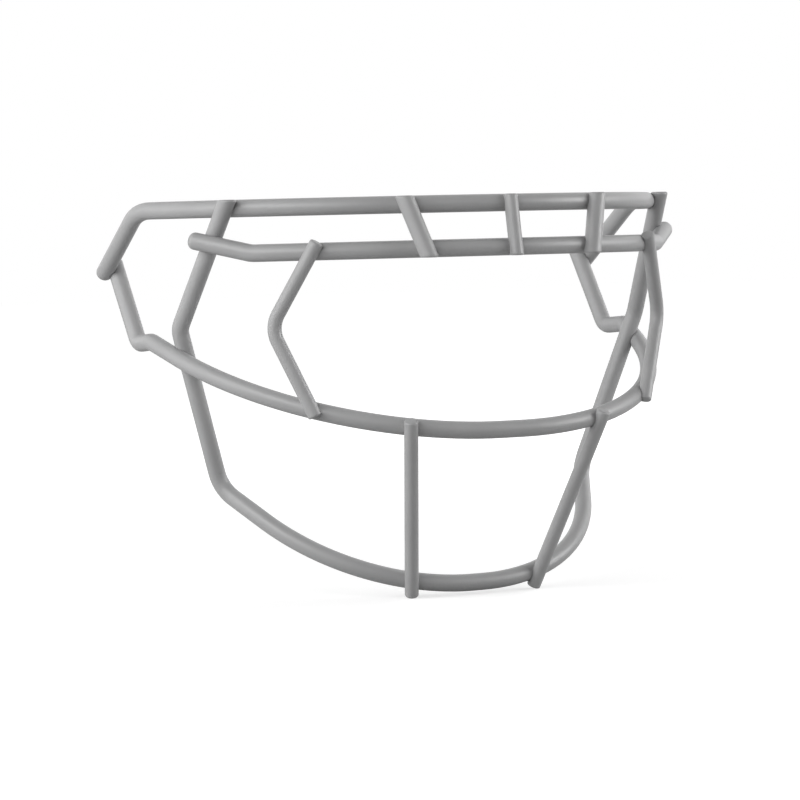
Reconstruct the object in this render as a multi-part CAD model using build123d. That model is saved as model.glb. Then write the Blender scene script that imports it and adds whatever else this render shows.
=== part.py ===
from build123d import *
from math import radians, tan
import os

os.makedirs("parts", exist_ok=True)

# A football helmet facemask: eleven bent steel wires, resistance welded where they
# cross and dipped in a tough plastic coating. X runs across the face, with the
# wearer's left on +X, -Y is forward and +Z is up. The wires are laid out from the
# middle of the top bar, and each one takes its place from the bars that it is
# welded to, so the crossings stay closed when a size changes.

# Wire, coating and welds
bar_diameter = 5.7
light_bar_diameter = 4.3
coat_thickness = 0.8
weld_set_down = 0.9
end_rounding = 0.8
blunt_end_rounding = 2.6
level_cut_allowance = 14.0
front_arc_share = 0.95
middle_share = 0.5
face_depth = 95.0

# Top bar: across the brow, back past the temples, then turned down and back
top_shoulder_half_width = 87.4
top_bend_half_width = 123.5
top_bend_depth = 97.4
top_end_taper = 1.3
top_end_reach = 39.8
top_end_drop = 27.4
top_bend_radius = 20.3

# Chin bar: two uprights outside the top bar, the jaw and the chin, all one wire
upright_seat_share = 0.2243
upright_flare = 6.7
upright_sweep = 30.7
upright_drop = 49.0
upright_bend_radius = 9.0
jaw_taper = 23.1
jaw_sweep = 11.6
jaw_drop = 68.8
jaw_bend_radius = 12.6
chin_narrowing = 33.7
chin_reach = 59.2
chin_drop = 41.8

# Brow bar: under the top bar, with ends that turn out past the uprights
brow_seat_share = 0.0277
brow_end_spread = 5.5
brow_end_reach = 6.0
brow_end_rise = 1.8
brow_wing_length = 19.8
brow_bend_radius = 12.5
brow_shoulder_half_width = 59.3
brow_front_step = 3.2
brow_drop = 18.3

# Middle bar: across the mouth, back past the jaw and up to the top bar's ends
jaw_seat_share = 0.1349
side_narrowing = 20.5
side_drop = 32.5
side_back_run = 17.5
side_bend_radius = 4.5
leg_seat_share = 0.0104
leg_overrun = 3.7
leg_sweep = 21.3
leg_drop = 31.7
leg_bend_radius = 6.2

# Brow struts: short uprights between the top bar and the brow bar
strut_top_share = 0.3968
strut_foot_share = 0.3577

# Eye guards: light bars from the brow bar to the middle bar, bent at the cheek
eye_top_share = 0.1947
eye_foot_share = 0.3156
eye_top_overrun = 5.0
eye_foot_overrun = 1.8
cheek_spread = 12.6
cheek_sweep = 13.4
cheek_drop = 30.5
cheek_bend_radius = 12.0

# Mouth bars: light bars from the middle bar down to the chin
mouth_top_share = 0.4018
mouth_foot_share = 0.4409
mouth_overrun = 5.2

# Distances between the middle lines of two wires that are welded together
bar_gap = bar_diameter - weld_set_down
light_gap = (bar_diameter + light_bar_diameter) / 2 - weld_set_down

# Levels at which bars are cut off flush with the top bar and with the brow bar
flush_top = bar_diameter / 2 + coat_thickness
flush_foot = -brow_drop - flush_top


def mirrored(points):
    """The points of one side, then the same points on the other side."""
    return points + [Vector(-p.X, p.Y, p.Z) for p in reversed(points)]


def bent(points, radii):
    """The middle line of a wire: straight runs joined by arcs."""
    return FilletPolyline(*points, radius=radii) if radii else Line(*points)


def front_radius(bend, shoulder):
    """The widest arc that turns a side run into the run across the face."""
    side = bend - shoulder
    half_angle = radians(side.get_angle(-Axis.X.direction)) / 2
    return front_arc_share * min(side.length, shoulder.X) * tan(half_angle)


def beside(line, share, along, gap):
    """A point outside a wire, a gap from it, for a wire that crosses it."""
    point = line @ share
    outward = (line % share).cross(along).normalized()
    from_face = point - Vector(0, face_depth, point.Z)
    if outward.dot(from_face) < 0:
        outward = -outward
    return point + outward * gap


def across(upper_line, upper_share, lower_line, lower_share, gap):
    """The two points at which a straight bar lies outside two wires."""
    along = lower_line @ lower_share - upper_line @ upper_share
    return [beside(upper_line, upper_share, along, gap), beside(lower_line, lower_share, along, gap)]


def lengthened(points, first_extra, last_extra):
    """The same route with its ends moved out, or in where the extra is negative."""
    first = points[0] + (points[0] - points[1]).normalized() * first_extra
    last = points[-1] + (points[-1] - points[-2]).normalized() * last_extra
    return [first] + points[1:-1] + [last]


def tube(line, diameter):
    """A round rod along a line."""
    start = Plane(origin=line @ 0, z_dir=line % 0)
    return sweep(start * Circle(diameter / 2), path=line)


def core_and_skin(points, radii, diameter, rounding=end_rounding):
    """A wire's steel core and the solid outside of its coating."""
    core_points = lengthened(points, -coat_thickness, -coat_thickness)
    core = tube(bent(core_points, radii), diameter)
    skin = tube(bent(points, radii), diameter + 2 * coat_thickness)
    rims = skin.faces().filter_by(GeomType.PLANE).edges()
    return core, fillet(rims, rounding)


def level_cut(points, radii, diameter, foot=None):
    """As core_and_skin, for a wire cut off level with the top bar, and at a foot if one is given."""
    line = bent(lengthened(points, level_cut_allowance, level_cut_allowance), radii)
    core = split(tube(line, diameter), Plane.XY.offset(flush_top - coat_thickness), Keep.BOTTOM)
    skin = split(tube(line, diameter + 2 * coat_thickness), Plane.XY.offset(flush_top), Keep.BOTTOM)
    if foot is not None:
        core = split(core, Plane.XY.offset(foot + coat_thickness), Keep.TOP)
        skin = split(skin, Plane.XY.offset(foot), Keep.TOP)
    rims = skin.faces().filter_by(GeomType.PLANE).edges()
    return core, fillet(rims, end_rounding)


# Top bar
top_shoulder = Vector(top_shoulder_half_width, 0, 0)
top_bend = Vector(top_bend_half_width, top_bend_depth, 0)
top_end = top_bend + Vector(-top_end_taper, top_end_reach, -top_end_drop)
top_radii = [top_bend_radius, front_radius(top_bend, top_shoulder)]
top_points = mirrored([top_end, top_bend, top_shoulder])
top_radii = top_radii + top_radii[::-1]
top_line = bent(top_points, top_radii)

# Chin bar
upright = Vector(upright_flare, upright_sweep, -upright_drop)
upright_seat = beside(top_line, upright_seat_share, upright, bar_gap)
upright_bend = upright_seat + upright
jaw_bend = upright_bend + Vector(-jaw_taper, jaw_sweep, -jaw_drop)
chin_shoulder = jaw_bend + Vector(-chin_narrowing, -chin_reach, -chin_drop)
chin_radii = [upright_bend_radius, jaw_bend_radius, front_radius(jaw_bend, chin_shoulder)]
chin_points = mirrored([upright_seat, upright_bend, jaw_bend, chin_shoulder])
chin_radii = chin_radii + chin_radii[::-1]
chin_line = bent(chin_points, chin_radii)

# Brow bar
brow_wing = Vector(brow_end_spread, brow_end_reach, brow_end_rise)
brow_seat = beside(chin_line, brow_seat_share, brow_wing, bar_gap)
brow_end = brow_seat + brow_wing
brow_bend = brow_seat - brow_wing.normalized() * brow_wing_length
brow_shoulder = Vector(brow_shoulder_half_width, -brow_front_step, -brow_drop)
brow_radii = [brow_bend_radius, front_radius(brow_bend, brow_shoulder)]
brow_points = mirrored([brow_end, brow_bend, brow_shoulder])
brow_radii = brow_radii + brow_radii[::-1]
brow_line = bent(brow_points, brow_radii)

# Middle bar: its run across the mouth stands level with the front of the top bar
jaw_middle = chin_line @ jaw_seat_share
side = Vector(-side_narrowing, top_shoulder.Y - jaw_middle.Y, -side_drop)
jaw_seat = beside(chin_line, jaw_seat_share, side, bar_gap)
mouth_shoulder = Vector(jaw_seat.X, top_shoulder.Y, jaw_seat.Z) + Vector(-side_narrowing, 0, -side_drop)
side_bend = jaw_seat + (jaw_seat - mouth_shoulder).normalized() * side_back_run
leg = Vector(0, -leg_sweep, -leg_drop)
leg_seat = beside(top_line, leg_seat_share, leg, -bar_gap)
leg_end = leg_seat - leg.normalized() * leg_overrun
leg_bend = leg_seat + leg
middle_radii = [leg_bend_radius, side_bend_radius, front_radius(side_bend, mouth_shoulder)]
middle_points = mirrored([leg_end, leg_bend, side_bend, mouth_shoulder])
middle_radii = middle_radii + middle_radii[::-1]
middle_line = bent(middle_points, middle_radii)

# Brow struts
strut_points = across(top_line, strut_top_share, brow_line, strut_foot_share, bar_gap)
centre_points = across(top_line, middle_share, brow_line, middle_share, light_gap)

# Eye guards
cheek = Vector(cheek_spread, cheek_sweep, -cheek_drop)
eye_top = beside(brow_line, eye_top_share, cheek, light_gap)
eye_bend = eye_top + cheek
eye_foot = beside(middle_line, eye_foot_share, middle_line @ eye_foot_share - eye_bend, light_gap)
eye_points = lengthened([eye_top, eye_bend, eye_foot], eye_top_overrun, eye_foot_overrun)

# Mouth bars
mouth_points = across(middle_line, mouth_top_share, chin_line, mouth_foot_share, light_gap)
mouth_points = lengthened(mouth_points, mouth_overrun, mouth_overrun)

# The wires, each as its core and the outside of its coating
wires = {
    "top_bar": core_and_skin(top_points, top_radii, bar_diameter, blunt_end_rounding),
    "chin_bar": level_cut(chin_points, chin_radii, bar_diameter),
    "brow_bar": core_and_skin(brow_points, brow_radii, bar_diameter, blunt_end_rounding),
    "middle_bar": core_and_skin(middle_points, middle_radii, bar_diameter),
    "left_brow_strut": level_cut(strut_points, [], bar_diameter, flush_foot),
    "centre_brow_strut": level_cut(centre_points, [], light_bar_diameter, flush_foot),
    "left_eye_guard": core_and_skin(eye_points, [cheek_bend_radius], light_bar_diameter),
    "left_mouth_bar": core_and_skin(mouth_points, [], light_bar_diameter),
}
for name in [name for name in wires if name.startswith("left_")]:
    core, skin = wires[name]
    right_name = name.replace("left_", "right_")
    wires[right_name] = mirror(core, about=Plane.YZ), mirror(skin, about=Plane.YZ)

# Which wires are welded together, group by group
weld_groups = {
    "upright_top_welds": [("top_bar", "chin_bar")],
    "leg_top_welds": [("top_bar", "middle_bar")],
    "upright_brow_welds": [("chin_bar", "brow_bar")],
    "jaw_welds": [("chin_bar", "middle_bar")],
    "strut_top_welds": [("top_bar", "left_brow_strut"), ("top_bar", "right_brow_strut")],
    "strut_foot_welds": [("brow_bar", "left_brow_strut"), ("brow_bar", "right_brow_strut")],
    "centre_strut_welds": [("top_bar", "centre_brow_strut"), ("brow_bar", "centre_brow_strut")],
    "eye_guard_top_welds": [("brow_bar", "left_eye_guard"), ("brow_bar", "right_eye_guard")],
    "eye_guard_foot_welds": [("middle_bar", "left_eye_guard"), ("middle_bar", "right_eye_guard")],
    "mouth_bar_top_welds": [("middle_bar", "left_mouth_bar"), ("middle_bar", "right_mouth_bar")],
    "mouth_bar_foot_welds": [("chin_bar", "left_mouth_bar"), ("chin_bar", "right_mouth_bar")],
}
pairs = [pair for group in weld_groups.values() for pair in group]

# Weld nuggets: the lenses in which two cores have sunk into each other
nodes = {}
for group_name, group in weld_groups.items():
    nuggets = []
    for first, second in group:
        nuggets += (wires[first][0] & wires[second][0]).solids()
    nodes[group_name] = Compound(nuggets)

# Cores without their nuggets, and coatings that stop at every core and at each other
order = list(wires)
for name, (core, skin) in wires.items():
    partners = [a if b == name else b for a, b in pairs if name in (a, b)]
    nodes[name + "_wire"] = core - [wires[partner][0] for partner in partners]
    coating = skin - core - [wires[partner][0] for partner in partners]
    earlier = [wires[partner][1] for partner in partners if order.index(partner) < order.index(name)]
    nodes[name + "_coating"] = coating - earlier if earlier else coating

# The origin is the middle of the finished mask's box
whole = Compound([wires[name][1] for name in wires])
to_origin = Pos(-whole.bounding_box().center())
for name, shape in nodes.items():
    node = to_origin * Compound(shape.solids())
    node.label = name
    export_step(node, "parts/" + name + ".step")
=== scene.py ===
from math import cos, radians, sin

import bpy
from mathutils import Matrix, Vector


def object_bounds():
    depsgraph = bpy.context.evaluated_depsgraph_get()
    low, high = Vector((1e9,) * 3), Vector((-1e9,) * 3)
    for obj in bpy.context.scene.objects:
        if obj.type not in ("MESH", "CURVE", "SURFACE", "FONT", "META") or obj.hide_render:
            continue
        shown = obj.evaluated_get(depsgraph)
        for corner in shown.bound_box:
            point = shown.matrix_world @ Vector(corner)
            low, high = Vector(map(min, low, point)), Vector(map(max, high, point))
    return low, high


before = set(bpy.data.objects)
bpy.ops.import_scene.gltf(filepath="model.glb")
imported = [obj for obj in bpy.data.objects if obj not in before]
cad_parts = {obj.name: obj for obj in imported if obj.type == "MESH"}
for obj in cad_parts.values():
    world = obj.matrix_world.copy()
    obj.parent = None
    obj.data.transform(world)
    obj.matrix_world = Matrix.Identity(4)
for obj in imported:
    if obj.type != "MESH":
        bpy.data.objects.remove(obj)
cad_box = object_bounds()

# Camera: level with the brow, well back and to the wearer's right of the mask, with a
# long lens, so the near side is open to view and the far side closes up behind it.
camera_place = Vector((-0.76373, -1.35344, 0.07236))
camera_turn = radians(28.8752)
camera_dip = radians(2.7702)
camera_roll = radians(-1.3193)

camera_data = bpy.data.cameras.new("camera")
camera_data.lens = 162.045
camera_data.sensor_width = 36
camera_data.clip_start = 0.05
camera_data.clip_end = 50
camera = bpy.data.objects.new("camera", camera_data)
bpy.context.scene.collection.objects.link(camera)
camera.matrix_world = (
    Matrix.Translation(camera_place)
    @ Matrix.Rotation(-camera_turn, 4, "Z")
    @ Matrix.Rotation(radians(90) - camera_dip, 4, "X")
    @ Matrix.Rotation(camera_roll, 4, "Z")
)
bpy.context.scene.camera = camera
bpy.context.scene.view_settings.view_transform = "Standard"

# Studio: a white room that the coating mirrors softly, a bank of soft boxes from the
# camera round to its left, and two on the right that edge the bars. The boxes at the far
# left and behind only light them, so that no bright line burns along their rims.
white = (1, 1, 1, 1)
room_strength = 0.05
seen_strength = 1.0
lamp_reach = 1.6
lamp_size = 0.9


def worked_out(tree, operation, *given):
    """The output of a Math node that takes other nodes' outputs and plain numbers."""
    node = tree.nodes.new("ShaderNodeMath")
    node.operation = operation
    for socket, value in zip(node.inputs, given):
        if isinstance(value, float):
            socket.default_value = value
        else:
            tree.links.new(value, socket)
    return node.outputs[0]


world = bpy.data.worlds.new("studio")
bpy.context.scene.world = world
world.use_nodes = True
tree = world.node_tree
tree.nodes.clear()
rays = tree.nodes.new("ShaderNodeLightPath").outputs
seen_or_through = worked_out(tree, "MAXIMUM", rays["Is Camera Ray"], rays["Is Transmission Ray"])
plain_white = worked_out(tree, "MAXIMUM", seen_or_through, rays["Is Glossy Ray"])
mixed = tree.nodes.new("ShaderNodeMixShader")
tree.links.new(plain_white, mixed.inputs["Fac"])
for socket, strength in ((mixed.inputs[1], room_strength), (mixed.inputs[2], seen_strength)):
    background = tree.nodes.new("ShaderNodeBackground")
    background.inputs["Color"].default_value = white
    background.inputs["Strength"].default_value = strength
    tree.links.new(background.outputs[0], socket)
world_out = tree.nodes.new("ShaderNodeOutputWorld")
tree.links.new(mixed.outputs[0], world_out.inputs["Surface"])

for name, swing, height, energy, mirrored in (
    ("left_box", -90, 10, 8.0, False),
    ("wing_box", -65, 15, 12.6, False),
    ("key_box", -45, 30, 6.6, True),
    ("lens_box", -25, 20, 6.8, True),
    ("right_box", 90, 15, 16.5, True),
    ("edge_box", 135, 20, 15.8, False),
):
    turn, lift = radians(swing) - camera_turn, radians(height)
    place = lamp_reach * Vector((sin(turn) * cos(lift), -cos(turn) * cos(lift), sin(lift)))
    lamp_data = bpy.data.lights.new(name, "AREA")
    lamp_data.size = lamp_size
    lamp_data.energy = energy
    lamp = bpy.data.objects.new(name, lamp_data)
    bpy.context.scene.collection.objects.link(lamp)
    lamp.visible_glossy = mirrored
    lamp.matrix_world = Matrix.Translation(place) @ place.to_track_quat("Z", "Y").to_matrix().to_4x4()

# Floor: matt pale card far wider than the view. It takes the mask's soft shadow, and
# glows to the lens, most of all far out, so that it runs into the white wall with no
# line between.
floor_width = 12
card_colour = (0.55, 0.55, 0.55, 1)
near_reach, near_glow = 0.3, 0.58
far_reach, far_glow = 1.2, 1.0

bpy.ops.object.select_all(action="DESELECT")
bpy.ops.mesh.primitive_plane_add(size=floor_width, location=(0, 0, cad_box[0][2]))
floor = bpy.context.object
floor.name = "floor"
floor_material = bpy.data.materials.new("pale_card")
floor_material.use_nodes = True
tree = floor_material.node_tree
tree.nodes.clear()
place = tree.nodes.new("ShaderNodeTexCoord")
from_mask = tree.nodes.new("ShaderNodeVectorMath")
from_mask.operation = "LENGTH"
tree.links.new(place.outputs["Object"], from_mask.inputs[0])
by_reach = tree.nodes.new("ShaderNodeMapRange")
by_reach.inputs["From Min"].default_value = near_reach
by_reach.inputs["From Max"].default_value = far_reach
by_reach.inputs["To Min"].default_value = near_glow
by_reach.inputs["To Max"].default_value = far_glow
tree.links.new(from_mask.outputs["Value"], by_reach.inputs["Value"])
rays = tree.nodes.new("ShaderNodeLightPath").outputs
to_lens = worked_out(tree, "MULTIPLY", by_reach.outputs["Result"], rays["Is Camera Ray"])
glow = tree.nodes.new("ShaderNodeEmission")
glow.inputs["Color"].default_value = white
tree.links.new(to_lens, glow.inputs["Strength"])
card = tree.nodes.new("ShaderNodeBsdfDiffuse")
card.inputs["Color"].default_value = card_colour
both = tree.nodes.new("ShaderNodeAddShader")
tree.links.new(card.outputs[0], both.inputs[0])
tree.links.new(glow.outputs[0], both.inputs[1])
floor_out = tree.nodes.new("ShaderNodeOutputMaterial")
tree.links.new(both.outputs[0], floor_out.inputs["Surface"])
floor.data.materials.append(floor_material)

# Surface grain: fine lumps with a broad slow drift, which the coating has as orange peel
# and uneven gloss, and the bare steel under it as pickling marks. It goes out as a
# height, a shade near 1 to tint by, and a roughness.
mm_per_metre = 1000.0
noise_middle = 0.5
full_shade = 1.0

grain_group = bpy.data.node_groups.new("surface_grain", "ShaderNodeTree")
for direction, names in (
    ("INPUT", ("Lump Size mm", "Patch Size mm", "Shade Change", "Roughness", "Roughness Change")),
    ("OUTPUT", ("Height", "Shade", "Roughness")),
):
    for name in names:
        grain_group.interface.new_socket(name, in_out=direction, socket_type="NodeSocketFloat")
given = grain_group.nodes.new("NodeGroupInput").outputs
result = grain_group.nodes.new("NodeGroupOutput").inputs
place = grain_group.nodes.new("ShaderNodeTexCoord")


def mottle(size, detail, roughness):
    """Noise on the piece's own coordinates, with lumps of a size in mm."""
    noise = grain_group.nodes.new("ShaderNodeTexNoise")
    noise.inputs["Detail"].default_value = detail
    noise.inputs["Roughness"].default_value = roughness
    grain_group.links.new(place.outputs["Object"], noise.inputs["Vector"])
    grain_group.links.new(worked_out(grain_group, "DIVIDE", mm_per_metre, size), noise.inputs["Scale"])
    return noise.outputs["Fac"]


lumps = mottle(given["Lump Size mm"], detail=1.5, roughness=0.4)
patches = mottle(given["Patch Size mm"], detail=3.0, roughness=0.55)
drift = worked_out(grain_group, "SUBTRACT", patches, noise_middle)
shade = worked_out(grain_group, "MULTIPLY_ADD", drift, given["Shade Change"], full_shade)
gloss = worked_out(grain_group, "MULTIPLY_ADD", drift, given["Roughness Change"], given["Roughness"])
grain_group.links.new(lumps, result["Height"])
grain_group.links.new(shade, result["Shade"])
grain_group.links.new(gloss, result["Roughness"])

# Coating: the welded cage is dipped as one piece in a tough grey plastic that flows
# over wires, ends and crossings, rounds them off, and sets satin with a faint orange peel.
coating_grey = (0.315, 0.315, 0.317, 1)
coating_grain = {
    "Lump Size mm": 1.3,
    "Patch Size mm": 16.0,
    "Shade Change": 0.14,
    "Roughness": 0.37,
    "Roughness Change": 0.24,
}
peel_depth = 0.0001
flow_radius = 0.001


def grained(tree, shader, values, strength, depth, over=None):
    """Roughens and bumps a finish with the surface grain, over a given normal, and returns its shade."""
    grain = tree.nodes.new("ShaderNodeGroup")
    grain.node_tree = grain_group
    for name, value in values.items():
        grain.inputs[name].default_value = value
    bump = tree.nodes.new("ShaderNodeBump")
    bump.inputs["Strength"].default_value = strength
    bump.inputs["Distance"].default_value = depth
    if over is not None:
        tree.links.new(over, bump.inputs["Normal"])
    tree.links.new(grain.outputs["Height"], bump.inputs["Height"])
    tree.links.new(bump.outputs["Normal"], shader.inputs["Normal"])
    tree.links.new(grain.outputs["Roughness"], shader.inputs["Roughness"])
    return grain.outputs["Shade"]


def tinted(tree, shader, colour, shade):
    """Gives a finish its colour, made lighter and darker by a shade near 1."""
    tint = tree.nodes.new("ShaderNodeMix")
    tint.data_type = "RGBA"
    tint.blend_type = "MULTIPLY"
    tint.inputs["Factor"].default_value = 1.0
    tint.inputs["A"].default_value = colour
    tree.links.new(shade, tint.inputs["B"])
    tree.links.new(tint.outputs["Result"], shader.inputs["Base Color"])


def dress(ending, material):
    """Gives a finish to every piece whose name has this ending."""
    for name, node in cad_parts.items():
        if name.endswith(ending):
            node.data.materials[0] = material


coating_material = bpy.data.materials.new("dipped_coating")
coating_material.use_nodes = True
tree = coating_material.node_tree
skin = tree.nodes["Principled BSDF"]
skin.inputs["IOR"].default_value = 1.5
flow = tree.nodes.new("ShaderNodeBevel")
flow.samples = 4
flow.inputs["Radius"].default_value = flow_radius
shade = grained(tree, skin, coating_grain, strength=0.8, depth=peel_depth, over=flow.outputs["Normal"])
tinted(tree, skin, coating_grey, shade)
dress("_coating", coating_material)

# Wires: cold drawn carbon steel, cut, bent in a press and pickled to a dull grey before
# welding. The coating hides them.
steel_grey = (0.42, 0.42, 0.43, 1)
steel_grain = {
    "Lump Size mm": 0.3,
    "Patch Size mm": 6.0,
    "Shade Change": 0.25,
    "Roughness": 0.38,
    "Roughness Change": 0.25,
}
pit_depth = 0.00003

wire_material = bpy.data.materials.new("drawn_steel")
wire_material.use_nodes = True
tree = wire_material.node_tree
steel = tree.nodes["Principled BSDF"]
steel.inputs["Metallic"].default_value = 1.0
shade = grained(tree, steel, steel_grain, strength=0.3, depth=pit_depth)
tinted(tree, steel, steel_grey, shade)
dress("_wire", wire_material)

# Welds: at each crossing the wires are pressed together and a current melts them into a
# nugget, whose steel is left darker and blued by the heat.
heat_blue, blue_until = (0.10, 0.13, 0.22, 1), 0.85
straw_brown, brown_from = (0.30, 0.24, 0.16, 1), 1.0
weld_grain = {
    "Lump Size mm": 0.5,
    "Patch Size mm": 2.5,
    "Shade Change": 1.0,
    "Roughness": 0.5,
    "Roughness Change": 0.3,
}
ripple_depth = 0.00008

weld_material = bpy.data.materials.new("blued_weld")
weld_material.use_nodes = True
tree = weld_material.node_tree
nugget = tree.nodes["Principled BSDF"]
nugget.inputs["Metallic"].default_value = 1.0
shade = grained(tree, nugget, weld_grain, strength=0.5, depth=ripple_depth)
heat = tree.nodes.new("ShaderNodeValToRGB")
dark_end, pale_end = heat.color_ramp.elements
dark_end.color, dark_end.position = heat_blue, blue_until
pale_end.color, pale_end.position = straw_brown, brown_from
tree.links.new(shade, heat.inputs["Fac"])
tree.links.new(heat.outputs["Color"], nugget.inputs["Base Color"])
dress("_welds", weld_material)
